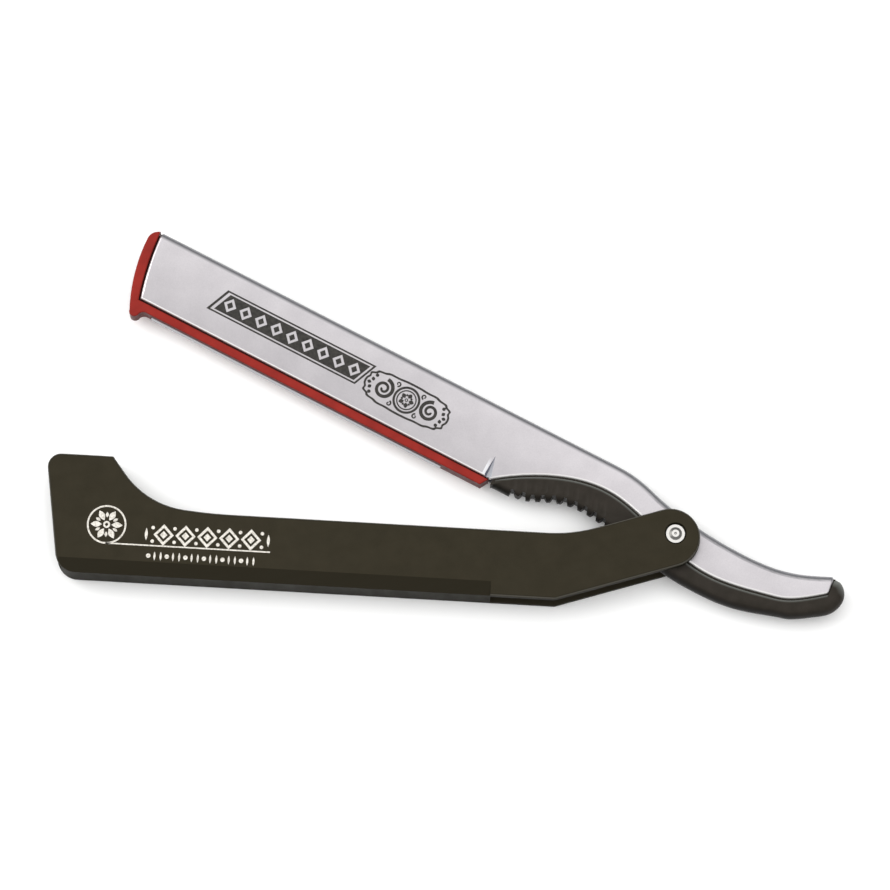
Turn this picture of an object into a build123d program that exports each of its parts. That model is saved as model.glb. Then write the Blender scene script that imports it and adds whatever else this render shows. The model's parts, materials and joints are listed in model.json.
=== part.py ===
"""Straight razor with a replaceable blade, opened for use.

The razor lies flat on its side: +Z runs along the pivot pin, the handle points along -X and its
closed back faces -Y.  The origin is the middle of the handle's lower flat face.  Outlines are
drawn from the pivot: the handle's in the pivot plane, and the blade holder's in a plane turned
with it, whose +x points to the tail and whose +y faces the spine.
Millimetres and degrees throughout.
"""
from build123d import *
import math
import os

os.makedirs("parts", exist_ok=True)

# ---- Handle ---------------------------------------------------------------------------------
PIVOT_X, PIVOT_Y = 60.0, 7.6        # pivot's axis, from the middle of the handle
HANDLE_T = 8.0          # thickness over both cheeks
CHEEK_T = 1.55          # thickness of one cheek
BACK_T = 1.3            # thickness of the wall that joins the cheeks
BACK_Y = -13.85         # closed back of the handle
MOUTH_Y = -1.25         # open edge of the handle
BUTT_Y = 8.7            # top of the tall butt end
BUTT_X = -118.8         # butt end, at its top
BUTT_LEAN = 9.1         # lean of the butt end from upright
SHOULDER_X = -106.2     # corner where the tall butt drops to the mouth
SLOT_X = -34.0          # the back is open from here to the pivot, for the tail to swing through
EAR_R = 5.55            # round end that holds the pivot
EAR_X, EAR_Y = -0.9, -0.85
NECK_ANGLE = 18.8       # slope of the neck that carries the ear
EDGE_R = 0.4            # softened corners of the moulding
BEVEL_W, BEVEL_DROP = 2.7, 0.42     # bevel of each cheek along the closed back

# ---- Pivot ----------------------------------------------------------------------------------
PIN_R = 0.8
PIN_BORE_R = 0.83       # hole in the cheeks and in the washers
WASHER_R = 1.84
WASHER_T = 0.35
RECESS_R = 2.05         # counterbore that sinks the washer and the pin's head
RECESS_DEPTH = 0.8
HEAD_R = 1.2
HEAD_H = 0.36
HEAD_SLOPE_W, HEAD_SLOPE_H = 0.5, 0.22      # the head slopes down to its rim
DIMPLE_R, DIMPLE_DEPTH = 0.32, 0.12         # left by the peening tool
THRUST_R = 2.6          # washers between the blade holder and the cheeks
THRUST_T = 0.3

# ---- Blade holder ---------------------------------------------------------------------------
REST_OPENING = 24.49    # angle between holder and handle as drawn
HOLDER_T = 4.2          # width over the folded sheet
SHEET_T = 0.6
SPINE_Y = 6.96
SPINE_LOW_Y = 2.8       # the spine never dips lower than this on its way to the tail
SPINE_R = 1.2           # outer radius of the fold
CUT_EDGE_R = 0.45       # softened cut edges of the sheet
SLEEVE_EDGE_Y = -6.5    # lower edge of the sheet beside the blade
HEEL_X = -35.7          # where the sheet's edge turns up into the shank
TOE_R = 57.0            # the toe is an arc about this centre
TOE_CX, TOE_CY = -56.4, 10.8
BEND_X, BEND_R, BEND_ANGLE = -15.5, 25.0, 18.0      # the spine bends down into the shank
SLEEVE_TAIL_X, SLEEVE_TAIL_Y = 30.0, 7.04           # upper corner of the sheet at the tail
TAIL_CORNER_R = 0.8     # lower corner of the sheet at the tail
FOLD_END_Y = 5.0        # at toe and tail the fold begins above this height
CREASE_X = -36.9        # pinch where the blade section ends
CREASE_FALL, CREASE_RISE = 0.6, 1.3     # widths of its steep and gentle sides
CREASE_DEPTH = 0.38
CREASE_TOP_Y = -2.2     # where the pinch dies out
CREASE_SKIN = 0.02      # the pinch is cut from this far outside the sheet
CORE_X, CORE_FOOT_Y = -34.8, -7.53      # lower corner of the filling at the heel
TAIL_TIP_X, TAIL_TIP_Y = 33.5, 3.3      # the filling's rounded end
TAIL_TOP_X, TAIL_TOP_Y = 31.4, 6.7
HOLDER_BORE_R = 0.87    # running fit on the pin
SHADOW_GAP = 0.3        # gap between the sheet's edge and the plastic under it
FOLD_PLAY = 0.05        # the filling's clearance inside the fold
BEAD_R = 1.9            # rounded underside of the filling
SHOULDER_R = 0.5        # rounded rim of the filling along the sheet
VALLEY_COUNT = 10       # the finger rest has rounded ribs with a valley between each two
VALLEY_START = 0.5      # first valley, measured along the underside
RIB_PITCH = 2.0
RIB_DEPTH = 1.0
RIB_TIP_W, RIB_TIP_H = 0.45, 0.3        # half width and height of a rib's rounded tip
RIB_LAND = 0.05         # the ribs keep a little of the plain underside
VALLEY_W = 0.6          # flat floor of a valley
FLUTE_R = 1.6           # each valley goes on up both flanks as a shallow flute
FLUTE_DEPTH, FLUTE_H = 0.22, 3.8
FLUTE_LEAN = 18.0       # the flutes lean towards the toe
WEB_TOE_X = -35.3       # toe end of the web inside the fold
WEB_INSET = 1.2         # the web's foot lies this far below the sheet's edge

# ---- Blade carrier and blade ------------------------------------------------------------------
BLADE_L = 62.0
BLADE_T = 0.25
BLADE_X = -107.3        # blade's toe end
EDGE_Y = -8.85          # cutting edge
BLADE_BACK_Y = 1.15
BEVEL_H = 0.9           # height of the ground edge
EDGE_T = 0.02           # thickness left at the very edge
NOTCH_R = 1.2           # notch in both upper corners of the blade
STRIP_Y = -8.4          # lower edge of the carrier
RIM_TOP_Y = SLEEVE_EDGE_Y - SHADOW_GAP
CAP_IN_R = TOE_R + SHADOW_GAP
CAP_TOP_Y = 6.9
CAP_OUT_X, CAP_OUT_Y = -115.2, 4.6      # outermost point of the toe cap
CAP_BELLY_X, CAP_BELLY_Y = -114.35, -1.5
CAP_T = 2.0             # half thickness of the toe cap and the strip
RIM_EDGE_R = 0.3
HOOK_X, HOOK_Y = -110.3, -10.1      # tip of the hook below the toe cap
HOOK_BACK, HOOK_FRONT = 1.25, 0.7   # the hook's reach to both sides of its tip
HOOK_NECK = 0.9         # that width is reached this far below the strip
HOOK_RUN = 1.9          # from the tip to where the straight strip begins
LEAF_T = 1.42           # half thickness of the leaves inside the sheet
LEAF_HEEL_X = -37.0
HEEL_LEAN = 0.95        # the strip's heel end leans this far
LEAF_TOP_Y = 6.1
PLATE_FOOT_Y = -7.6
LEAF_LAP = 0.8          # the plate runs this far in under the rim
SEAM = 0.02             # half of the seam between the closed leaves
POCKET_T = 0.14         # blade pocket in each leaf
POCKET_PLAY = 0.1
PEG_R = 1.0             # pegs of the front leaf pass through the blade
PEG_PLAY = 0.04
PEG_H = 1.1
PEG_X = (-99.3, -76.3, -53.3)
PEG_Y = -1.2

MID_Z = HANDLE_T / 2
FAR = 60.0              # reach of a cut that runs right out of a piece
OVERCUT = 1.0           # reach of a cut a little way out of a piece

pivot_plane = Plane(origin=(PIVOT_X, PIVOT_Y, 0))
holder_plane = pivot_plane.rotated((0, 0, -REST_OPENING)).offset(MID_Z)
front_face = pivot_plane.offset(HANDLE_T)
rear_face = Plane(origin=pivot_plane.origin, x_dir=(1, 0, 0), z_dir=(0, 0, -1))


def polar(x, y, r, angle):
    """Point at distance r and angle from (x, y)."""
    return (x + r * math.cos(math.radians(angle)), y + r * math.sin(math.radians(angle)))


def toe_x(radius, y):
    """x where the toe's arc of this radius stands at height y."""
    return TOE_CX - math.sqrt(radius**2 - (y - TOE_CY) ** 2)


def heights(edge):
    """Least and greatest height of an edge in the holder's frame."""
    levels = [holder_plane.to_local_coords(edge @ t).Y for t in (0, 0.5, 1)]
    return min(levels), max(levels)


# ---- Handle: two cheeks and the back that joins them -----------------------------------------
ear_top = polar(EAR_X, EAR_Y, EAR_R, 90 + NECK_ANGLE)
ear_foot = polar(EAR_X, EAR_Y, EAR_R, NECK_ANGLE - 90)
neck_run = (ear_foot[1] - BACK_Y) / math.tan(math.radians(NECK_ANGLE))
mouth_run = (ear_top[1] - MOUTH_Y) / math.tan(math.radians(NECK_ANGLE))
butt_foot_x = BUTT_X + (BUTT_Y - BACK_Y) * math.tan(math.radians(BUTT_LEAN))
corners = (
    (butt_foot_x, BACK_Y, 4.0),
    (BUTT_X, BUTT_Y, 2.5),
    (SHOULDER_X, BUTT_Y, 0.3),
    (-99.4, -0.1, 16.5),
    (-87.65, MOUTH_Y, 90.0),
    (ear_top[0] - mouth_run, MOUTH_Y, 28.0),
    (*ear_top, 0),
    (*ear_foot, 0),
    (ear_foot[0] - neck_run, BACK_Y, 0.6),
)

with BuildPart() as handle:
    with BuildSketch(pivot_plane) as side_view:
        with BuildLine():
            FilletPolyline(*[(x, y) for x, y, r in corners], radius=[r for x, y, r in corners], close=True)
        make_face()
        with Locations((EAR_X, EAR_Y)):
            Circle(EAR_R)
    extrude(amount=HANDLE_T)
    fillet(handle.faces().sort_by(Axis.Z)[-1].edges(), EDGE_R)
    fillet(handle.faces().sort_by(Axis.Z)[0].edges(), EDGE_R)
    # Shallow bevel along the closed back, on both cheeks.
    slot_end = Plane(origin=(PIVOT_X + SLOT_X, PIVOT_Y, 0), x_dir=(0, 1, 0), z_dir=(1, 0, 0))
    bevel_fall = BEVEL_DROP * (1 + OVERCUT / BEVEL_W)
    with BuildSketch(slot_end) as bevel:
        for z, side in ((HANDLE_T, 1), (0, -1)):
            with BuildLine():
                Polyline(
                    (BACK_Y + BEVEL_W, z),
                    (BACK_Y - OVERCUT, z - side * bevel_fall),
                    (BACK_Y - OVERCUT, z + side * OVERCUT),
                    (BACK_Y + BEVEL_W, z + side * OVERCUT),
                    close=True,
                )
            make_face()
    extrude(amount=-2 * FAR, mode=Mode.SUBTRACT)
    # Channel that takes the closed blade, open at the mouth and at both ends.
    with BuildSketch(pivot_plane.offset(CHEEK_T)) as channel:
        with Locations((BUTT_X - OVERCUT, BACK_Y + BACK_T)):
            Rectangle(3 * FAR, FAR, align=(Align.MIN, Align.MIN))
        with Locations((SLOT_X, BACK_Y - OVERCUT)):
            Rectangle(FAR, FAR, align=(Align.MIN, Align.MIN))
    extrude(amount=HANDLE_T - 2 * CHEEK_T, mode=Mode.SUBTRACT)
    with Locations(Location(front_face), Location(rear_face)):
        CounterBoreHole(PIN_BORE_R, RECESS_R, RECESS_DEPTH)
handle.part.label = "handle"
export_step(handle.part, "parts/handle.step")


# ---- Pivot pin: a rivet peened over a washer on each side -------------------------------------
head_seat = HANDLE_T - RECESS_DEPTH + WASHER_T
with BuildPart() as pivot_pin:
    with Locations(Location(pivot_plane.offset(MID_Z))):
        Cylinder(PIN_R, 2 * (head_seat - MID_Z))
    for face, side in ((front_face, 1), (rear_face, -1)):
        with BuildSketch(face.offset(head_seat - HANDLE_T)):
            Circle(HEAD_R)
        extrude(amount=HEAD_H)
        crown = pivot_pin.faces().sort_by(Axis.Z)[-1 if side > 0 else 0]
        chamfer(crown.edges(), HEAD_SLOPE_W, HEAD_SLOPE_H, reference=crown)
        with Locations(face.offset(head_seat - HANDLE_T + HEAD_H + DIMPLE_R - DIMPLE_DEPTH).origin):
            Sphere(DIMPLE_R, mode=Mode.SUBTRACT)
pivot_pin.part.label = "pivot_pin"
export_step(pivot_pin.part, "parts/pivot_pin.step")


# ---- Washers -----------------------------------------------------------------------------------
washers = {
    "outer_washer_front": (front_face.offset(-RECESS_DEPTH), WASHER_R, PIN_BORE_R, WASHER_T),
    "outer_washer_rear": (rear_face.offset(-RECESS_DEPTH), WASHER_R, PIN_BORE_R, WASHER_T),
    "thrust_washer_front": (holder_plane.offset(HOLDER_T / 2), THRUST_R, HOLDER_BORE_R, THRUST_T),
    "thrust_washer_rear": (rear_face.offset(HOLDER_T / 2 - MID_Z), THRUST_R, HOLDER_BORE_R, THRUST_T),
}
for name, (seat, outer_r, bore_r, thickness) in washers.items():
    with BuildPart(seat) as washer:
        Cylinder(outer_r, thickness, align=(Align.CENTER, Align.CENTER, Align.MIN))
        rims = washer.edges().filter_by(GeomType.CIRCLE).sort_by(Axis(seat.origin, seat.z_dir))
        fillet(rims[-1], thickness / 3)
        Cylinder(bore_r, 3 * thickness, mode=Mode.SUBTRACT)
    washer.part.label = name
    export_step(washer.part, f"parts/{name}.step")


# ---- Blade sleeve: one sheet folded along the spine, open below and at both ends ----------------
def spine_curve(drop, overrun):
    """Spine from toe to tail, lowered by drop and run on past both ends by overrun."""
    back = Line((toe_x(TOE_R, SPINE_Y) - overrun, SPINE_Y - drop), (BEND_X, SPINE_Y - drop))
    bend = JernArc(back @ 1, (1, 0), BEND_R - drop, -BEND_ANGLE)
    tail_points = ((3.78, 3.39), (13.0, 2.85), (22.7, 3.99), (SLEEVE_TAIL_X, SLEEVE_TAIL_Y))
    tail = Spline(
        bend @ 1,
        *[(x, y - drop) for x, y in tail_points],
        tangents=(bend % 1, (1, 0.5)),
    )
    if overrun:
        Line(tail @ 1, tail @ 1 + (tail % 1) * overrun)


def shank_curve(drop):
    """Lower edge of the sheet from the heel to the tail, lowered by drop."""
    points = (
        (HEEL_X, SLEEVE_EDGE_Y - 0.1),
        (-25.3, -0.48),
        (-15.0, 1.7),
        (-7.85, 0.36),
        (0.0, -2.25),
        (9.8, -3.78),
        (20.5, -2.05),
        (30.56, 3.56),
    )
    return Spline(*[(x, y - drop) for x, y in points], tangents=((1, 0.75), (1, 0.84)))


with BuildPart() as blade_sleeve:
    with BuildSketch(holder_plane.offset(-HOLDER_T / 2)) as sleeve_side:
        with BuildLine():
            spine_curve(0, 0)
            shank = shank_curve(0)
            Line(shank @ 1, (SLEEVE_TAIL_X, SLEEVE_TAIL_Y))
            toe_foot = (toe_x(TOE_R, SLEEVE_EDGE_Y), SLEEVE_EDGE_Y)
            Line(toe_foot, shank @ 0)
            RadiusArc((toe_x(TOE_R, SPINE_Y), SPINE_Y), toe_foot, -TOE_R)
        make_face()
        fillet(sleeve_side.vertices().sort_by(Axis.X)[-1], TAIL_CORNER_R)
    extrude(amount=HOLDER_T)
    outer_edges = blade_sleeve.edges().filter_by(lambda e: e.length > HOLDER_T)
    fillet(outer_edges.filter_by(lambda e: heights(e)[0] > SPINE_LOW_Y), SPINE_R)
    rims = blade_sleeve.faces().filter_by(Axis.Z).edges()
    fold_foot_y = SPINE_LOW_Y - SPINE_R
    long_top = ShapeList(e for e in rims if e.length > HOLDER_T and heights(e)[0] > fold_foot_y)
    cut_edges = ShapeList(e for e in rims if e not in long_top and heights(e)[0] < FOLD_END_Y)
    fillet(cut_edges, CUT_EDGE_R)
    with BuildSketch(holder_plane.offset(SHEET_T - HOLDER_T / 2)) as inside:
        with BuildLine() as inside_line:
            spine_curve(SHEET_T, 4 * OVERCUT)
            ends = inside_line.vertices().sort_by(Axis.X)
            Polyline(
                tuple(ends[0]),
                (ends[0].X, -FAR),
                (ends[-1].X, -FAR),
                tuple(ends[-1]),
            )
        make_face()
    extrude(amount=HOLDER_T - 2 * SHEET_T, mode=Mode.SUBTRACT)
    # Both cheeks are pinched in where the blade section ends, deepest at the lower edge.
    for side in (1, -1):
        face_z = side * HOLDER_T / 2
        pinch_plane = Plane(
            origin=holder_plane.from_local_coords((CREASE_X, SLEEVE_EDGE_Y - OVERCUT, face_z)),
            x_dir=holder_plane.x_dir,
            z_dir=holder_plane.y_dir * side,
        )
        pinch_top = holder_plane.from_local_coords((CREASE_X, CREASE_TOP_Y, face_z))
        with BuildSketch(pinch_plane) as pinch:
            with BuildLine():
                Polyline(
                    (-CREASE_FALL / 2, -CREASE_SKIN),
                    (CREASE_FALL / 2, CREASE_DEPTH),
                    (CREASE_FALL / 2 + CREASE_RISE, -CREASE_SKIN),
                    close=True,
                )
            make_face()
        loft([pinch.sketch.face(), Vertex(pinch_top)], mode=Mode.SUBTRACT)
    with Locations(Location(front_face)):
        Hole(HOLDER_BORE_R)
blade_sleeve.part.label = "blade_sleeve"
export_step(blade_sleeve.part, "parts/blade_sleeve.step")


# ---- Tang core: moulded filling of the shank and tail, with a ribbed finger rest ----------------
def belly_curve():
    """Underside of the core from the finger rest to the tail."""
    return Spline(
        (-31.2, CORE_FOOT_Y),
        (-27.7, -6.7),
        (-24.1, -5.06),
        (-20.2, -3.96),
        (-14.4, -4.11),
        (-6.0, -5.9),
        (2.66, -7.35),
        (9.6, -7.58),
        (16.85, -6.75),
        (24.2, -4.48),
        (31.4, -0.4),
        tangents=((1, 0), (1, 0.72)),
    )


with BuildPart() as tang_core:
    # Bead that stands out below the sheet, as wide as the folded sheet.
    with BuildSketch(holder_plane.offset(-HOLDER_T / 2)) as bead_side:
        with BuildLine():
            belly = belly_curve()
            turn = TangentArc(belly @ 1, (TAIL_TIP_X, TAIL_TIP_Y), tangent=belly % 1)
            tip = TangentArc(turn @ 1, (TAIL_TOP_X, TAIL_TOP_Y), tangent=turn % 1)
            Polyline(tip @ 1, (CORE_X, TAIL_TOP_Y), (CORE_X, CORE_FOOT_Y), belly @ 0)
        make_face()
    extrude(amount=HOLDER_T)
    outer_rim = tang_core.faces().filter_by(Axis.Z).edges()
    heel_height = TAIL_TOP_Y - CORE_FOOT_Y
    fillet(outer_rim.filter_by(lambda e: heights(e)[1] - heights(e)[0] < 0.9 * heel_height), BEAD_R)
    with BuildSketch(holder_plane.offset(-HOLDER_T)) as sheet_side:
        with BuildLine():
            rim = shank_curve(SHADOW_GAP)
            Polyline(
                rim @ 1,
                (SLEEVE_TAIL_X + SHADOW_GAP, SPINE_Y),
                (SLEEVE_TAIL_X + SHADOW_GAP, FAR),
                (-FAR, FAR),
                (-FAR, SLEEVE_EDGE_Y),
                rim @ 0,
            )
        make_face()
    extrude(amount=2 * HOLDER_T, mode=Mode.SUBTRACT)
    shoulders = tang_core.faces().filter_by(Axis.Z).edges().sort_by(Edge.length)[-2:]
    fillet(shoulders, SHOULDER_R)
    # Valleys across the underside leave rounded ribs, and a flute runs up each flank.
    with BuildLine(holder_plane) as belly_line:
        belly_curve()
    finger_rest = belly_line.edges()[0]
    for i in range(VALLEY_COUNT):
        reach = VALLEY_START + i * RIB_PITCH
        foot = finger_rest.position_at(reach, position_mode=PositionMode.LENGTH)
        along = finger_rest.tangent_at(reach, position_mode=PositionMode.LENGTH)
        with BuildSketch(Plane(origin=foot, x_dir=along, z_dir=(0, 0, 1)).offset(-HOLDER_T)):
            with BuildLine():
                tip_x = RIB_PITCH / 2 - RIB_TIP_W
                rise = TangentArc((-RIB_PITCH / 2, -RIB_LAND), (-tip_x, RIB_TIP_H), tangent=(1, 0))
                fall = TangentArc((RIB_PITCH / 2, -RIB_LAND), (tip_x, RIB_TIP_H), tangent=(-1, 0))
                Polyline(
                    rise @ 1,
                    (-VALLEY_W / 2, RIB_DEPTH),
                    (VALLEY_W / 2, RIB_DEPTH),
                    fall @ 1,
                )
                Polyline(
                    rise @ 0,
                    (-RIB_PITCH / 2, -OVERCUT),
                    (RIB_PITCH / 2, -OVERCUT),
                    fall @ 0,
                )
            make_face()
        extrude(amount=2 * HOLDER_T, mode=Mode.SUBTRACT)
        level = holder_plane.to_local_coords(foot)
        flute_end = polar(level.X, level.Y, FLUTE_H, 90 + FLUTE_LEAN)
        for side in (1, -1):
            axis_z = side * (HOLDER_T / 2 + FLUTE_R)
            low = holder_plane.from_local_coords((level.X, level.Y, axis_z - side * FLUTE_DEPTH))
            high = holder_plane.from_local_coords((*flute_end, axis_z))
            with BuildSketch(Plane(origin=low, z_dir=high - low)):
                Circle(FLUTE_R)
            extrude(amount=FLUTE_H, mode=Mode.SUBTRACT)
    # Web inside the fold.
    with BuildSketch(holder_plane.offset(FOLD_PLAY + SHEET_T - HOLDER_T / 2)) as web_side:
        with BuildLine() as web_line:
            spine_curve(SHEET_T + FOLD_PLAY, 0.5 * OVERCUT)
            ends = web_line.vertices().sort_by(Axis.X)
            web_foot = shank_curve(WEB_INSET)
            Line(web_foot @ 1, tuple(ends[-1]))
            Polyline(web_foot @ 0, (ends[0].X, SLEEVE_EDGE_Y), tuple(ends[0]))
        make_face()
        with Locations((WEB_TOE_X, 0)):
            Rectangle(2 * FAR, FAR, align=(Align.MIN, Align.CENTER), mode=Mode.INTERSECT)
    extrude(amount=HOLDER_T - 2 * SHEET_T - 2 * FOLD_PLAY)
    with Locations(Location(front_face)):
        Hole(HOLDER_BORE_R)
tang_core.part.label = "tang_core"
export_step(tang_core.part, "parts/tang_core.step")


# ---- Blade carrier: two moulded leaves that close on the blade -----------------------------------
def carrier_rim():
    """Visible rim of a leaf: toe cap, hook and strip, as one closed outline."""
    heel_top = (LEAF_HEEL_X + HEEL_LEAN, RIM_TOP_Y)
    neck_y = STRIP_Y - HOOK_NECK
    strip = Polyline(heel_top, (LEAF_HEEL_X, STRIP_Y), (HOOK_X + HOOK_RUN, STRIP_Y))
    throat = TangentArc(strip @ 1, (HOOK_X + HOOK_FRONT, neck_y), tangent=(-1, 0))
    tip = ThreePointArc(throat @ 1, (HOOK_X, HOOK_Y), (HOOK_X - HOOK_BACK, neck_y))
    outer = ThreePointArc(tip @ 1, (CAP_BELLY_X, CAP_BELLY_Y), (CAP_OUT_X, CAP_OUT_Y))
    corner = TangentArc(outer @ 1, (toe_x(CAP_IN_R, CAP_TOP_Y), CAP_TOP_Y), tangent=outer % 1)
    inner = RadiusArc(corner @ 1, (toe_x(CAP_IN_R, RIM_TOP_Y), RIM_TOP_Y), -CAP_IN_R)
    Line(inner @ 1, strip @ 0)


plate_toe_r = CAP_IN_R + LEAF_LAP
for side, name in ((1, "carrier_front_leaf"), (-1, "carrier_rear_leaf")):
    with BuildPart() as leaf:
        with BuildSketch(holder_plane.offset(side * SEAM)) as rim_side:
            with BuildLine():
                carrier_rim()
            make_face()
        extrude(amount=side * (CAP_T - SEAM))
        outside = leaf.faces().filter_by(Axis.Z).sort_by(Axis.Z)[-1 if side > 0 else 0]
        fillet(outside.edges(), RIM_EDGE_R)
        # Plate that slides inside the fold.
        with BuildSketch(holder_plane.offset(side * SEAM)) as plate_side:
            with BuildLine():
                plate_end = RadiusArc(
                    (toe_x(plate_toe_r, LEAF_TOP_Y), LEAF_TOP_Y),
                    (toe_x(plate_toe_r, PLATE_FOOT_Y), PLATE_FOOT_Y),
                    -plate_toe_r,
                )
                Polyline(
                    plate_end @ 0,
                    (LEAF_HEEL_X, LEAF_TOP_Y),
                    (LEAF_HEEL_X, PLATE_FOOT_Y),
                    plate_end @ 1,
                )
            make_face()
        extrude(amount=side * (LEAF_T - SEAM))
        # Pocket for the blade, open below so that the edge stands out.
        with BuildSketch(holder_plane) as pocket:
            with Locations((BLADE_X - POCKET_PLAY, BLADE_BACK_Y + POCKET_PLAY)):
                Rectangle(BLADE_L + 2 * POCKET_PLAY, FAR, align=(Align.MIN, Align.MAX))
        extrude(amount=side * POCKET_T, mode=Mode.SUBTRACT)
        with BuildSketch(holder_plane.offset(POCKET_T)) as pegs:
            with Locations(*[(x, PEG_Y) for x in PEG_X]):
                Circle(PEG_R if side > 0 else PEG_R + PEG_PLAY)
        if side > 0:
            extrude(amount=-PEG_H)
        else:
            extrude(amount=-PEG_H - POCKET_T, mode=Mode.SUBTRACT)
    leaf.part.label = name
    export_step(leaf.part, f"parts/{name}.step")


# ---- Blade: thin strip of steel, ground on both sides -------------------------------------------
blade_origin = holder_plane.from_local_coords((BLADE_X, 0, 0))
with BuildPart() as razor_blade:
    with BuildSketch(Plane(origin=blade_origin, x_dir=holder_plane.y_dir, z_dir=holder_plane.x_dir)):
        with BuildLine():
            Polyline(
                (BLADE_BACK_Y, -BLADE_T / 2),
                (BLADE_BACK_Y, BLADE_T / 2),
                (EDGE_Y + BEVEL_H, BLADE_T / 2),
                (EDGE_Y, EDGE_T / 2),
                (EDGE_Y, -EDGE_T / 2),
                (EDGE_Y + BEVEL_H, -BLADE_T / 2),
                close=True,
            )
        make_face()
    extrude(amount=BLADE_L)
    with BuildSketch(holder_plane.offset(-BLADE_T)) as piercings:
        with Locations(*[(x, PEG_Y) for x in PEG_X]):
            Circle(PEG_R + POCKET_PLAY)
        with Locations((BLADE_X, BLADE_BACK_Y), (BLADE_X + BLADE_L, BLADE_BACK_Y)):
            Circle(NOTCH_R)
    extrude(amount=2 * BLADE_T, mode=Mode.SUBTRACT)
razor_blade.part.label = "razor_blade"
export_step(razor_blade.part, "parts/razor_blade.step")
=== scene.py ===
"""Looks of the straight razor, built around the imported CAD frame.

Everything is in metres, in the row's frame. Ornament is drawn in millimetres from the pivot, in the
handle's directions (on_handle) or in the blade holder's own (on_holder).
"""
import json
import math

import bmesh
import bpy
from mathutils import Matrix, Vector


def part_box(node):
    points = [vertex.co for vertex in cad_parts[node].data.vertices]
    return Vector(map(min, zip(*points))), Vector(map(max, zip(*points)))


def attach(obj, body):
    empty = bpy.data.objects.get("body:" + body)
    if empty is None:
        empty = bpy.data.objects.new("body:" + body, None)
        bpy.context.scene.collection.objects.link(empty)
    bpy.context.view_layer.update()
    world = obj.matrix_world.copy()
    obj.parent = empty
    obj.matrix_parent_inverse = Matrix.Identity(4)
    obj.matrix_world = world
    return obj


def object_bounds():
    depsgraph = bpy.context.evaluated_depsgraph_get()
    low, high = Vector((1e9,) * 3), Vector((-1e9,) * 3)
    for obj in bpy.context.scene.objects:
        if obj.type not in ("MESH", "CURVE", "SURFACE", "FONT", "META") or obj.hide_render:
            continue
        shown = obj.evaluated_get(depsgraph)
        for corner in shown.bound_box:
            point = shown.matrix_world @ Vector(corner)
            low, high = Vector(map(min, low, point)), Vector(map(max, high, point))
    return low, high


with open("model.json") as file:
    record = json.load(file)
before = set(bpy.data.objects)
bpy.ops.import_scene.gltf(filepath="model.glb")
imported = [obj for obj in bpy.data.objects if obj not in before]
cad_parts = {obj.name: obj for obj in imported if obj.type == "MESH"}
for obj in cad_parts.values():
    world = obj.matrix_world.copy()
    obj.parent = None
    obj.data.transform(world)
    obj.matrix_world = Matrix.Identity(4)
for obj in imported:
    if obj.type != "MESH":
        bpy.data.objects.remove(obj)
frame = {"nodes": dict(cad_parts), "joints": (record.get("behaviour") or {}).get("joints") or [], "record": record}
cad_low, cad_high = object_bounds()
nodes = frame["nodes"]
joints = {j["name"]: j for j in frame["joints"]}

MM = 0.001
PIN_WAY = (0, 0, 1)                     # along the pivot pin, out of the front cheek
PIVOT = Vector(joints["pivot"]["pos_m"])
TOE_WAY = Vector(joints["carrier_slide"]["axis"]).normalized()
SPINE_WAY = Vector(PIN_WAY).cross(-TOE_WAY).normalized()
HOLDER_TURN = math.atan2(-TOE_WAY.y, -TOE_WAY.x)
MID_Z = (cad_low.z + cad_high.z) / 2
FACE_Z = cad_high.z                     # the handle's front face
SLEEVE_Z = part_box("blade_sleeve")[1].z  # the folded sheet's front face


def on_handle(x, y, z=FACE_Z):
    """Point at x, y millimetres from the pivot, along and across the handle."""
    return Vector((PIVOT.x + x * MM, PIVOT.y + y * MM, z))


def on_holder(x, y, z=SLEEVE_Z):
    """Point at x, y millimetres from the pivot, in the blade holder's own directions."""
    flat = PIVOT - TOE_WAY * (x * MM) + SPINE_WAY * (y * MM)
    return Vector((flat.x, flat.y, z))


def station(x):
    """What Paint.on_way reads x millimetres from the pivot; the toe is at negative x."""
    return x * MM - PIVOT.dot(TOE_WAY)


def height(y):
    """What Paint.up_way reads y millimetres from the pivot, towards the spine."""
    return y * MM + PIVOT.dot(SPINE_WAY)


# ---- Camera --------------------------------------------------------------------------------------
VIEW_TILT = math.radians(13.0)          # the camera stands this far towards the handle's back
VIEW_ROLL = math.radians(3.31)          # the handle slopes this much in the picture
VIEW_WIDTH = 0.168                      # width of the picture at the razor
VIEW_DISTANCE = 1.0
AIM = Vector((PIVOT.x - 0.04415, PIVOT.y + 0.01533, MID_Z))     # middle of the picture
SENSOR_WIDTH = 36.0                     # in millimetres, as the lens is
VIEW_END = 10.0


def add_camera():
    picture_up = Vector((-math.sin(VIEW_ROLL), math.cos(VIEW_ROLL), 0))
    view_from = Vector((0, 0, math.cos(VIEW_TILT))) - picture_up * math.sin(VIEW_TILT)
    picture_right = picture_up.cross(view_from).normalized()
    camera_up = view_from.cross(picture_right)
    data = bpy.data.cameras.new("camera")
    data.sensor_width = SENSOR_WIDTH
    data.lens = SENSOR_WIDTH * VIEW_DISTANCE / VIEW_WIDTH
    data.clip_end = VIEW_END
    camera = bpy.data.objects.new("camera", data)
    turn = Matrix((picture_right, camera_up, view_from)).transposed()
    camera.matrix_world = Matrix.Translation(AIM + view_from * VIEW_DISTANCE) @ turn.to_4x4()
    bpy.context.scene.collection.objects.link(camera)
    bpy.context.scene.camera = camera


# ---- Materials -----------------------------------------------------------------------------------
NOISE_LOW, NOISE_HIGH = 0.3, 0.7        # nearly all of a noise texture's values lie between these
MIX_COLOR_A, MIX_COLOR_B, MIX_COLOR_OUT = 6, 7, 2       # the Mix node's sockets for colours


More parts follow.
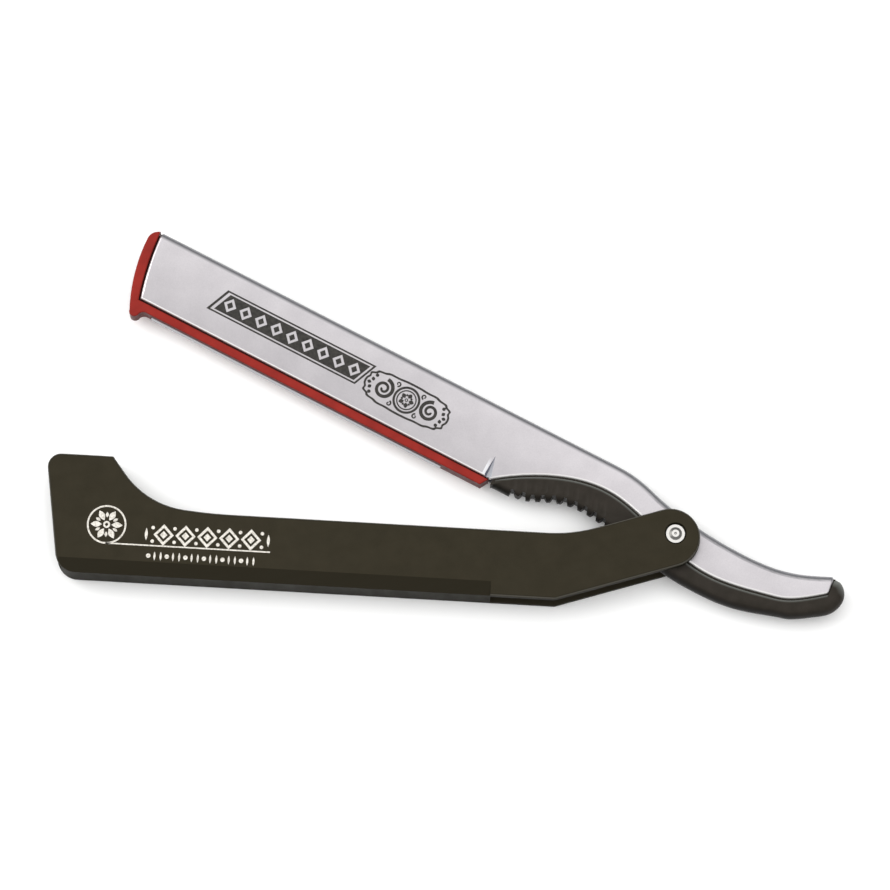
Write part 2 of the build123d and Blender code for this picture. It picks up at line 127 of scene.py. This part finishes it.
class Paint:
    """A Principled material, with short calls for the nodes that drive it.

    The plain colour and roughness stay in force where no nodes are linked over them.
    """

    def __init__(self, name, color, roughness, metallic=0.0, specular=0.5):
        self.mat = bpy.data.materials.new(name)
        self.mat.use_nodes = True
        self.tree = self.mat.node_tree
        self.bsdf = self.tree.nodes["Principled BSDF"]
        self.bsdf.inputs["Base Color"].default_value = (*color, 1)
        self.bsdf.inputs["Roughness"].default_value = roughness
        self.bsdf.inputs["Metallic"].default_value = metallic
        self.bsdf.inputs["Specular IOR Level"].default_value = specular
        self.coords = self.node("ShaderNodeTexCoord").outputs["Object"]

    def node(self, kind, **settings):
        made = self.tree.nodes.new(kind)
        for key, value in settings.items():
            setattr(made, key, value)
        return made

    def feed(self, socket, value):
        """Links a socket, or sets its constant."""
        if isinstance(value, bpy.types.NodeSocket):
            self.tree.links.new(value, socket)
        else:
            socket.default_value = value

    def color(self, value):
        self.feed(self.bsdf.inputs["Base Color"], value)

    def roughness(self, noise, low, high):
        """Roughness from low to high, by a noise."""
        self.feed(self.bsdf.inputs["Roughness"], self.ramp(noise, NOISE_LOW, NOISE_HIGH, low, high))

    # -- Patterns

    def mapped(self, scale=(1, 1, 1), turn=0.0):
        """Object coordinates turned about Z and then scaled."""
        spin = self.node("ShaderNodeMapping", vector_type="POINT")
        spin.inputs["Rotation"].default_value = (0, 0, -turn)
        self.feed(spin.inputs["Vector"], self.coords)
        stretch = self.node("ShaderNodeMapping", vector_type="POINT")
        stretch.inputs["Scale"].default_value = scale
        self.feed(stretch.inputs["Vector"], spin.outputs["Vector"])
        return stretch.outputs["Vector"]

    def texture(self, vector, scale, detail):
        made = self.node("ShaderNodeTexNoise")
        made.inputs["Scale"].default_value = scale
        made.inputs["Detail"].default_value = detail
        self.feed(made.inputs["Vector"], vector)
        return made.outputs["Fac"]

    def noise(self, per_metre, detail):
        """Even noise with about so many patches to the metre."""
        return self.texture(self.mapped(), per_metre, detail)

    def streaks(self, per_metre, turn, detail):
        """Noise with its own number of patches to the metre along each axis, turned about Z."""
        return self.texture(self.mapped(per_metre, turn), 1.0, detail)

    def cloud(self, per_metre, detail, high=NOISE_HIGH):
        """Even noise, spread over 0 to 1."""
        return self.ramp(self.noise(per_metre, detail), NOISE_LOW, high)

    # -- Sums

    def math(self, operation, a, b=0.0):
        made = self.node("ShaderNodeMath", operation=operation)
        self.feed(made.inputs[0], a)
        self.feed(made.inputs[1], b)
        return made.outputs[0]

    def times(self, a, b):
        return self.math("MULTIPLY", a, b)

    def blend(self, a, b, share_b):
        """Sum of two values, with these shares."""
        return self.math("ADD", self.times(a, 1 - share_b), self.times(b, share_b))

    def ramp(self, value, low, high, to_low=0.0, to_high=1.0):
        """Value from low..high onto to_low..to_high, clamped. Low may be the larger of the two."""
        made = self.node("ShaderNodeMapRange")
        limits = {"From Min": low, "From Max": high, "To Min": to_low, "To Max": to_high}
        for name, number in limits.items():
            made.inputs[name].default_value = number
        self.feed(made.inputs["Value"], value)
        return made.outputs["Result"]

    def window(self, value, low, high, soft):
        """1 between low and high, falling to 0 over the soft margin outside."""
        return self.times(self.ramp(value, low - soft, low), self.ramp(value, high + soft, high))

    def mix(self, share, a, b, blend="MIX"):
        """Colour a where the share is 0, and b, or a times b for MULTIPLY, where it is 1."""
        made = self.node("ShaderNodeMix", data_type="RGBA", blend_type=blend)
        self.feed(made.inputs["Factor"], share)
        for socket, color in ((MIX_COLOR_A, a), (MIX_COLOR_B, b)):
            linked = isinstance(color, bpy.types.NodeSocket)
            self.feed(made.inputs[socket], color if linked else (*color, 1))
        return made.outputs[MIX_COLOR_OUT]

    def scaled(self, color, value):
        """Colour multiplied by a value."""
        grey = self.node("ShaderNodeCombineColor")
        for channel in grey.inputs:
            self.feed(channel, value)
        return self.mix(1.0, color, grey.outputs["Color"], "MULTIPLY")

    # -- Places and directions on the piece

    def along(self, vector, way):
        """Share of a vector along a fixed direction."""
        made = self.node("ShaderNodeVectorMath", operation="DOT_PRODUCT")
        self.feed(made.inputs[0], vector)
        made.inputs[1].default_value = way
        return made.outputs["Value"]

    def on_way(self):
        """Place along the blade holder, from the toe to the tail; station() gives its values."""
        return self.along(self.coords, -TOE_WAY)

    def up_way(self):
        """Place across the blade holder, towards its spine; height() gives its values."""
        return self.along(self.coords, SPINE_WAY)

    def distance(self, point):
        made = self.node("ShaderNodeVectorMath", operation="DISTANCE")
        self.feed(made.inputs[0], self.coords)
        made.inputs[1].default_value = point
        return made.outputs["Value"]

    def facing(self, way):
        """How far the surface faces a fixed direction of the object, -1 to 1."""
        return self.along(self.node("ShaderNodeTexCoord").outputs["Normal"], way)

    def level(self):
        """1 on the flat faces, front and rear, and 0 on the walls between them."""
        return self.math("ABSOLUTE", self.facing(PIN_WAY))

    def bump(self, value, distance, strength):
        made = self.node("ShaderNodeBump")
        made.inputs["Strength"].default_value = strength
        made.inputs["Distance"].default_value = distance
        self.feed(made.inputs["Height"], value)
        self.feed(self.bsdf.inputs["Normal"], made.outputs["Normal"])


def handle_plastic():
    """Matt moulded plastic, almost black: eggshell grain and faint clouds, with painted shade on the slopes and
    walls and a painted highlight on the edges between them.
    """
    dark, pale = (0.0225, 0.0192, 0.0115), (0.031, 0.0262, 0.0162)
    # Painted shade for the slopes and walls, and a painted highlight for the edges between wall and flat.
    slope_shade_color, edge_highlight_color = (0.016, 0.0135, 0.0078), (0.062, 0.058, 0.048)
    wall_shade_color = (0.012, 0.0105, 0.006)
    p = Paint("handle_plastic", (0.03, 0.025, 0.012), 0.6, specular=0.06)
    grain = p.noise(5200, detail=2)
    level = p.level()
    # Painted shade on every face that isn't quite flat and on the walls, and a painted highlight on the edges.
    slope_shade = p.ramp(level, 0.998, 0.99)                          # every face that isn't quite flat
    edge_highlight = p.times(p.ramp(level, 0.12, 0.4), p.ramp(level, 0.97, 0.88))
    shaded_wall = p.ramp(level, 0.1, 0.02)
    flat = p.mix(p.blend(p.cloud(300, detail=5), grain, 0.5), dark, pale)
    with_slope_shade = p.mix(slope_shade, flat, slope_shade_color)
    p.color(p.mix(shaded_wall, p.mix(edge_highlight, with_slope_shade, edge_highlight_color), wall_shade_color))
    p.roughness(p.streaks((60, 900, 60), 0.3, detail=5), 0.54, 0.68)
    p.bump(grain, 0.04 * MM, strength=0.3)
    return p.mat


# Where light and shade are painted at the heel crease.
PINCH_START, PINCH_END = -38.2, -35.0   # the crease at the heel, in millimetres from the pivot


def crease_light_and_shade(p, color):
    """Painted light and shade at the heel crease: a painted highlight on the toe side, painted shade on the fall,
    and painted shade on the rise that fades paler.
    """
    # Painted highlight on the toe-side edge, painted shade on the fall and on the rise.
    highlight_start, highlight_end, highlight_foot, highlight_full = -37.6, -37.2, -2.8, -4.5
    rise_deep_shade_end, rise_soft_shade_start = -36.6, -35.4
    edge_highlight_color, fall_shade_color = (0.93, 0.93, 0.96), (0.20, 0.21, 0.27)
    rise_deep_shade, rise_soft_shade = (0.06, 0.065, 0.085), (0.19, 0.21, 0.235)
    on = p.on_way()
    crease = p.window(on, station(PINCH_START), station(PINCH_END), 0.3 * MM)
    fall_shade = p.times(crease, p.ramp(p.facing(-TOE_WAY), 0.1, 0.35))
    rise_shade = p.times(crease, p.ramp(p.facing(TOE_WAY), 0.08, 0.2))
    edge_highlight = p.times(
        p.window(on, station(highlight_start), station(highlight_end), 0.12 * MM),
        p.ramp(p.up_way(), height(highlight_foot), height(highlight_full)),
    )
    shade_softening = p.ramp(on, station(rise_deep_shade_end), station(rise_soft_shade_start))
    with_fall_shade = p.mix(fall_shade, p.mix(edge_highlight, color, edge_highlight_color), fall_shade_color)
    return p.mix(rise_shade, with_fall_shade, p.mix(shade_softening, rise_deep_shade, rise_soft_shade))


def sleeve_metal():
    """Satin metal with a fine grain across the holder; painted shade on the fold, a painted highlight on the cut
    edges.
    """
    dark, pale = (0.56, 0.535, 0.555), (0.73, 0.70, 0.72)
    fold_shade_color, cut_highlight_color = (0.27, 0.27, 0.285), (0.97, 0.95, 0.94)
    p = Paint("sleeve_metal", (0.72, 0.70, 0.73), 0.4, metallic=1.0)
    grain = p.streaks((9000, 500, 500), HOLDER_TURN, detail=3)
    flat = p.mix(p.blend(p.cloud(160, detail=4), p.noise(4200, detail=2), 0.6), dark, pale)
    # Painted light: lighter towards the spine and towards the tail.
    across = p.ramp(p.up_way(), height(-6.5), height(7), 0.86, 1.08)
    length = p.ramp(p.on_way(), station(-60), station(0), 1.02, 1.2)
    # Painted light and shade at the heel crease.
    flat = crease_light_and_shade(p, p.scaled(flat, p.times(across, length)))
    spineward = p.facing(SPINE_WAY)
    # Painted shade on the fold and a painted highlight on the cut edges.
    fold_shade, cut_highlight = p.ramp(spineward, 0.02, 0.45), p.ramp(spineward, -0.05, -0.3)
    p.color(p.mix(cut_highlight, p.mix(fold_shade, flat, fold_shade_color), cut_highlight_color))
    p.roughness(grain, 0.34, 0.46)
    p.bump(grain, 0.012 * MM, strength=0.4)
    return p.mat


def core_plastic():
    """Black moulded filling, with a painted highlight along its upper shoulder and painted shade underneath."""
    dark, pale = (0.020, 0.017, 0.013), (0.027, 0.0225, 0.018)
    shoulder_highlight_color, under_shade_color = (0.13, 0.135, 0.125), (0.008, 0.007, 0.006)
    p = Paint("core_plastic", (0.030, 0.025, 0.020), 0.45, specular=0.1)
    cloud = p.cloud(500, detail=3)
    spineward = p.facing(SPINE_WAY)
    # Painted highlight where the surface faces the spine, painted shade where it faces away.
    shoulder_highlight, under_shade = p.ramp(spineward, 0.1, 0.7), p.ramp(spineward, -0.45, -0.9)
    flank = p.mix(cloud, dark, pale)
    p.color(p.mix(under_shade, p.mix(shoulder_highlight, flank, shoulder_highlight_color), under_shade_color))
    p.feed(p.bsdf.inputs["Roughness"], p.ramp(cloud, 0.0, 1.0, 0.4, 0.52))
    p.bump(p.noise(3000, detail=2), 0.03 * MM, strength=0.2)
    return p.mat


def carrier_plastic():
    """Red moulded plastic, with painted shade on its walls and on the plate in the gap round the sheet's edge."""
    dark, pale = (0.192, 0.0175, 0.0135), (0.264, 0.0225, 0.0165)
    wall_shade_color, gap_shade_color = (0.085, 0.008, 0.006), (0.02, 0.004, 0.003)
    toe_centre = on_holder(-56.4, 10.8, MID_Z)                  # of the arc of the sheet's toe edge
    toe_shade_start, toe_shade_full = 56.4 * MM, 56.9 * MM                 # distances from that centre
    strip_shade_start, strip_shade_full = height(-6), height(-6.5)
    plate_out, plate_in = 1.72 * MM, 1.5 * MM                   # the plate's face, from the middle
    p = Paint("carrier_plastic", (0.20, 0.015, 0.010), 0.38, specular=0.06)
    depth = p.math("ABSOLUTE", p.math("SUBTRACT", p.along(p.coords, PIN_WAY), MID_Z))
    level = p.level()
    # Painted shade on the walls, and on the plate where it shows in the gap round the sheet's edge.
    shaded_wall = p.ramp(level, 0.6, 0.1)
    plate = p.times(p.ramp(level, 0.6, 0.9), p.ramp(depth, plate_out, plate_in))
    by_toe = p.ramp(p.distance(toe_centre), toe_shade_start, toe_shade_full)
    by_strip = p.ramp(p.up_way(), strip_shade_start, strip_shade_full)
    gap_shade = p.times(plate, p.math("MAXIMUM", by_toe, by_strip))
    red = p.mix(p.cloud(300, detail=4), dark, pale)
    p.color(p.mix(gap_shade, p.mix(shaded_wall, red, wall_shade_color), gap_shade_color))
    p.roughness(p.noise(900, detail=3), 0.32, 0.44)
    p.bump(p.noise(2600, detail=2), 0.03 * MM, strength=0.25)
    return p.mat


def rivet_metal():
    """Bright nickel, with painted shade on the slope round the head."""
    bright, slope_shade_color = (0.98, 0.96, 0.92), (0.20, 0.195, 0.185)
    p = Paint("rivet_metal", bright, 0.3, metallic=1.0)
    # Painted shade on the slope round the head.
    p.color(p.mix(p.ramp(p.level(), 0.93, 0.99), slope_shade_color, bright))
    p.roughness(p.noise(1500, detail=3), 0.28, 0.42)
    p.bump(p.noise(6000, detail=2), 0.01 * MM, strength=0.3)
    return p.mat


def blade_steel():
    """Ground stainless steel, scratched across its length."""
    p = Paint("blade_steel", (0.55, 0.55, 0.57), 0.2, metallic=1.0)
    scratches = p.streaks((12000, 1200, 1200), HOLDER_TURN, detail=3)
    p.roughness(scratches, 0.14, 0.28)
    p.bump(scratches, 0.006 * MM, strength=0.3)
    return p.mat


def print_ink():
    """Pale printing ink, slightly worn."""
    worn, full = (0.40, 0.37, 0.32), (0.70, 0.67, 0.61)
    p = Paint("print_ink", (0.62, 0.59, 0.53), 0.5, specular=0.3)
    p.color(p.mix(p.cloud(2600, detail=4, high=0.6), worn, full))
    p.bump(p.noise(7000, detail=2), 0.008 * MM, strength=0.4)
    return p.mat


def etched_steel():
    """Dark etched lines in the metal."""
    dark, pale = (0.012, 0.011, 0.010), (0.035, 0.032, 0.028)
    p = Paint("etched_steel", (0.022, 0.020, 0.018), 0.55, specular=0.3)
    p.color(p.mix(p.cloud(1800, detail=4, high=0.65), dark, pale))
    p.bump(p.noise(9000, detail=2), 0.006 * MM, strength=0.5)
    return p.mat


def paint_nodes():
    """Gives each CAD node the material of its slot."""
    finishes = {
        "handle_plastic": handle_plastic(),
        "sleeve_metal": sleeve_metal(),
        "core_plastic": core_plastic(),
        "carrier_plastic": carrier_plastic(),
        "rivet_metal": rivet_metal(),
        "blade_steel": blade_steel(),
    }
    for part in frame["record"]["subparts"]:
        shown = nodes[part["node"]]
        shown.data.materials.clear()
        shown.data.materials.append(finishes[part["material_slot"]])


# ---- Outlines, in millimetres --------------------------------------------------------------------
def polar(cx, cy, r, angle):
    return (cx + r * math.cos(angle), cy + r * math.sin(angle))


def circle(cx, cy, r, count):
    return [polar(cx, cy, r, math.tau * i / count) for i in range(count)]


def lozenge(cx, cy, half_x, half_y):
    """Eight points round a lozenge: its tips and the middles of its sides."""
    tips = [(-half_x, 0), (0, -half_y), (half_x, 0), (0, half_y)]
    sides = zip(tips, tips[1:] + tips[:1])
    middles = [((a + c) / 2, (b + d) / 2) for (a, b), (c, d) in sides]
    return [(cx + x, cy + y) for pair in zip(tips, middles) for x, y in pair]


def petal(cx, cy, inner, outer, half, angle):
    """Leaf from radius inner to outer, that points away from (cx, cy). Half is half its width."""
    count = 10
    way, across = polar(0, 0, 1, angle), polar(0, 0, 1, angle + math.pi / 2)
    steps = [i / count for i in range(count + 1)]
    side = [(inner + (outer - inner) * t, half * math.sin(math.pi * t)) for t in steps]
    loop = [(r, -w) for r, w in side] + [(r, w) for r, w in side[-2:0:-1]]
    return [(cx + r * way[0] + w * across[0], cy + r * way[1] + w * across[1]) for r, w in loop]


def spiral(cx, cy, outer, inner, start, turns, count=60):
    """Scroll that winds inwards from its start angle, clockwise where turns is negative."""
    steps = [i / count for i in range(count + 1)]
    return [
        polar(cx, cy, outer + (inner - outer) * t, start + math.tau * turns * t) for t in steps
    ]


def cartouche(cx, cy, half_x, half_y):
    """Loop between an ellipse and a rectangle, with a scalloped outline."""
    count, squareness, scallops, scallop_share = 112, 0.62, 16, 0.02
    loop = []
    for i in range(count):
        angle = math.tau * i / count
        c, s = math.cos(angle), math.sin(angle)
        wave = 1 + scallop_share * math.cos(scallops * angle)
        x, y = (math.copysign(abs(part) ** squareness, part) for part in (c, s))
        loop.append((cx + half_x * wave * x, cy + half_y * wave * y))
    return loop


# ---- Print on the handle and etching on the sleeve, as very thin plates --------------------------
SUNK = 0.01 * MM                        # the plates start this far inside the face
PROUD = 0.015 * MM                      # and end this far above it


class Inlay:
    """Thin closed plates in one mesh, drawn in millimetres on a face of a piece."""

    def __init__(self, name, place, face_z):
        self.name = name
        self.place = place
        self.face_z = face_z
        self.bm = bmesh.new()

    def add(self, points, faces):
        """Closes flat faces, given anticlockwise, into a plate."""
        low = [self.bm.verts.new(self.place(x, y, self.face_z - SUNK)) for x, y in points]
        high = [self.bm.verts.new(self.place(x, y, self.face_z + PROUD)) for x, y in points]
        edges = {(a, b) for face in faces for a, b in zip(face, face[1:] + face[:1])}
        for face in faces:
            self.bm.faces.new([high[i] for i in face])
            self.bm.faces.new([low[i] for i in reversed(face)])
        for a, b in edges:
            if (b, a) not in edges:
                self.bm.faces.new([low[a], low[b], high[b], high[a]])

    def plate(self, loop):
        self.add(loop, [list(range(len(loop)))])

    def dot(self, cx, cy, r, count=16):
        self.plate(circle(cx, cy, r, count))

    def band(self, outer, inner):
        """Closed band between two loops of as many points."""
        n = len(outer)
        ring = [(i, (i + 1) % n) for i in range(n)]
        self.add(outer + inner, [[a, b, n + b, n + a] for a, b in ring])

    def ring(self, cx, cy, outer, inner, count):
        self.band(circle(cx, cy, outer, count), circle(cx, cy, inner, count))

    def ribbon(self, path, wide, narrow):
        """Stroke along a path, tapering from wide to narrow."""
        n = len(path)
        right, left = [], []
        for i, (x, y) in enumerate(path):
            back, ahead = path[max(i - 1, 0)], path[min(i + 1, n - 1)]
            dx, dy = ahead[0] - back[0], ahead[1] - back[1]
            half = (wide + (narrow - wide) * i / (n - 1)) / 2 / math.hypot(dx, dy)
            right.append((x + dy * half, y - dx * half))
            left.append((x - dy * half, y + dx * half))
        self.add(right + left, [[i, i + 1, n + i + 1, n + i] for i in range(n - 1)])

    def rosette(self, cx, cy, reach, petals, half):
        """Flower of long petals and short narrow ones round a small ring."""
        ring_out, ring_in, long_foot, short_foot, short_tip = 0.22, 0.1, 0.3, 0.45, 0.8  # of reach
        self.ring(cx, cy, reach * ring_out, reach * ring_in, 24)
        for i in range(petals):
            angle = math.tau * i / petals
            between = angle + math.pi / petals
            self.plate(petal(cx, cy, reach * long_foot, reach, half, angle))
            short = petal(cx, cy, reach * short_foot, reach * short_tip, half / 2, between)
            self.plate(short)

    def finish(self, material, body):
        mesh = bpy.data.meshes.new(self.name)
        self.bm.to_mesh(mesh)
        self.bm.free()
        mesh.materials.append(material)
        piece = bpy.data.objects.new(self.name, mesh)
        bpy.context.scene.collection.objects.link(piece)
        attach(piece, body)


def handle_print():
    """Pale print on the butt: ringed flower, row of lozenges, rule, and bead-and-reel line."""
    upright = math.pi / 2
    inlay = Inlay("handle_print", on_handle, FACE_Z)

    ring_x, ring_y, ring_r, ring_line = -106.5, -4.5, 3.7, 0.32
    inlay.ring(ring_x, ring_y, ring_r, ring_r - ring_line, 72)
    inlay.rosette(ring_x, ring_y, 3.0, petals=6, half=0.55)

    row_x, row_y, pitch, count = -95.7, -5.9, 4.1, 5            # row_x is the first lozenge
    outside, inside, core = (1.9, 2.05), (1.3, 1.35), (0.7, 0.75)       # half sizes of each
    for i in range(count):
        x = row_x + pitch * i
        inlay.band(lozenge(x, row_y, *outside), lozenge(x, row_y, *inside))
        inlay.plate(lozenge(x, row_y, *core))
    dot_r, dot_up = 0.34, 1.3                                   # pairs between the lozenges
    for i in range(count + 1):
        for side in (1, -1):
            inlay.dot(row_x + pitch * (i - 0.5), row_y + side * dot_up, dot_r)
    end_gap, end_length, end_half = 1.2, 1.2, 0.28              # a leaf at each end of the row
    for x in (row_x - pitch / 2 - end_gap, row_x + pitch * (count - 0.5) + end_gap):
        inlay.plate(petal(x, row_y, -end_length, end_length, end_half, upright))

    rule_y, rule_end, rule_line = ring_y - ring_r + 0.15, -75.6, 0.26
    inlay.ribbon([(ring_x, rule_y), (rule_end, rule_y)], rule_line, rule_line)

    bead_x, bead_y, bead_pitch, beads = -98.3, -10.0, 1.16, 18  # every third one is round
    bead_r, reel_length, reel_half = 0.42, 0.85, 0.2
    for i in range(beads):
        x = bead_x + bead_pitch * i
        if i % 3 == 0:
            inlay.dot(x, bead_y, bead_r, 20)
        else:
            inlay.plate(petal(x, bead_y, -reel_length, reel_length, reel_half, upright))
    inlay.finish(print_ink(), "grip")


def lozenge_banner(inlay):
    """Framed slanted band of lozenges."""
    foot_y = -2.3
    lean = 0.41                         # the ends lean this much for each millimetre of height

    def leaning(x, y):
        return x + lean * (y - foot_y)

    def slanted(left, right, low, high):
        """Eight points round a slanted cell: its corners and the middles of its sides."""
        mid_x, mid_y = (left + right) / 2, (low + high) / 2
        across = [(left, mid_y), (left, low), (mid_x, low), (right, low)]
        back = [(right, mid_y), (right, high), (mid_x, high), (left, high)]
        return [(leaning(x, y), y) for x, y in across + back]

    outside, inside = (-98.75, -66.9, foot_y, 2.7), (-98.25, -67.3, -1.98, 2.38)
    inlay.band(slanted(*outside), slanted(*inside))             # the frame
    cells, left, right, low, high = 9, -97.65, -67.7, -1.7, 2.1
    hole, core = (1.3, 1.45), (0.65, 0.75)                      # half sizes of the lozenges
    pitch = (right - left) / cells
    row_y = (low + high) / 2
    for i in range(cells):
        x = left + pitch * i
        centre = leaning(x + pitch / 2, row_y)
        inlay.band(slanted(x, x + pitch, low, high), lozenge(centre, row_y, *hole))
        inlay.plate(lozenge(centre, row_y, *core))


def scroll_cluster(inlay):
    """Medallion with a rosette between two scrolls, in a scalloped frame."""
    mid_x, mid_y = -56.8, -0.5
    frame_x, frame_y, frame_line = 8.75, 3.35, 0.4
    outside = cartouche(mid_x, mid_y, frame_x, frame_y)
    inlay.band(outside, cartouche(mid_x, mid_y, frame_x - frame_line, frame_y - frame_line))
    for outer, inner in ((2.65, 2.2), (1.95, 1.7)):
        inlay.ring(mid_x, mid_y, outer, inner, 60)
    inlay.rosette(mid_x, mid_y, 1.55, petals=5, half=0.42)

    # Places from the middle; radii and stroke widths run from the start of a scroll to its end.
    scroll_out, scroll_radii, scroll_stroke, scroll_turns = 4.9, (1.95, 0.3), (0.72, 0.42), 1.75
    curl_out, curl_up, curl_radii, curl_stroke = 2.75, 2.1, (0.5, 0.15), (0.34, 0.2)
    petal_out, petal_foot, petal_tip, petal_half = 7.0, 0.5, 1.35, 0.34
    dot_out, dot_up, dot_r = 7.1, 1.75, 0.34
    for side in (1, -1):
        scroll_x, turns = mid_x + side * scroll_out, side * scroll_turns
        scroll = spiral(scroll_x, mid_y, *scroll_radii, math.pi / 2, turns)
        inlay.ribbon(scroll, *scroll_stroke)
        petal_x, outward = mid_x + side * petal_out, 0 if side > 0 else math.pi
        for i in (-1, 0, 1):
            angle = outward + i * math.pi / 3
            inlay.plate(petal(petal_x, mid_y, petal_foot, petal_tip, petal_half, angle))
        for up in (1, -1):
            curl_x, curl_y = mid_x + side * curl_out, mid_y + up * curl_up
            curl = spiral(curl_x, curl_y, *curl_radii, -up * math.pi / 2, -side * up, count=24)
            inlay.ribbon(curl, *curl_stroke)
            inlay.dot(mid_x + side * dot_out, mid_y + up * dot_up, dot_r)


def sleeve_etching():
    """Dark etching on the sleeve."""
    inlay = Inlay("sleeve_etching", on_holder, SLEEVE_Z)
    lozenge_banner(inlay)
    scroll_cluster(inlay)
    inlay.finish(etched_steel(), "holder")


# ---- Floor and light -----------------------------------------------------------------------------
def floor():
    half = 1.5
    gap = 0.0002                        # the floor lies this far below the razor
    corners = [(-half, -half), (half, -half), (half, half), (-half, half)]
    sheet = bpy.data.meshes.new("floor")
    sheet.from_pydata([(x, y, cad_low.z - gap) for x, y in corners], [], [(0, 1, 2, 3)])
    made = bpy.data.objects.new("floor", sheet)
    bpy.context.scene.collection.objects.link(made)
    sheet.materials.append(Paint("floor_paper", (0.93, 0.93, 0.925), 0.9, specular=0.0).mat)


def area_light(name, place, side, power, mirrored=True):
    """Square light that points at the middle of the picture; unmirrored, it makes no highlight."""
    data = bpy.data.lights.new(name, "AREA")
    data.shape = "RECTANGLE"
    data.size = side
    data.size_y = side
    data.energy = power
    made = bpy.data.objects.new(name, data)
    made.location = place
    made.rotation_euler = (AIM - Vector(place)).to_track_quat("-Z", "Y").to_euler()
    made.visible_glossy = mirrored
    bpy.context.scene.collection.objects.link(made)


def studio_world():
    """White above, darker towards the horizon."""
    fade_range = {"From Min": 0.1, "From Max": 0.8, "To Min": 0.25, "To Max": 0.9}
    world = bpy.data.worlds.new("studio")
    world.use_nodes = True
    tree = world.node_tree
    background = tree.nodes["Background"]
    way = tree.nodes.new("ShaderNodeTexCoord")
    split = tree.nodes.new("ShaderNodeSeparateXYZ")
    fade = tree.nodes.new("ShaderNodeMapRange")
    for name, number in fade_range.items():
        fade.inputs[name].default_value = number
    tree.links.new(way.outputs["Generated"], split.inputs["Vector"])
    tree.links.new(split.outputs["Z"], fade.inputs["Value"])
    tree.links.new(fade.outputs["Result"], background.inputs["Strength"])
    background.inputs["Color"].default_value = (1, 1, 1, 1)
    bpy.context.scene.world = world


add_camera()
paint_nodes()
handle_print()
sleeve_etching()
floor()
area_light("key", place=(-0.9, 0.25, 0.8), side=0.9, power=7.0)
area_light("top", place=(0.1, 0.1, 1.4), side=1.8, power=14.0, mirrored=False)
studio_world()
bpy.context.scene.view_settings.view_transform = "Standard"
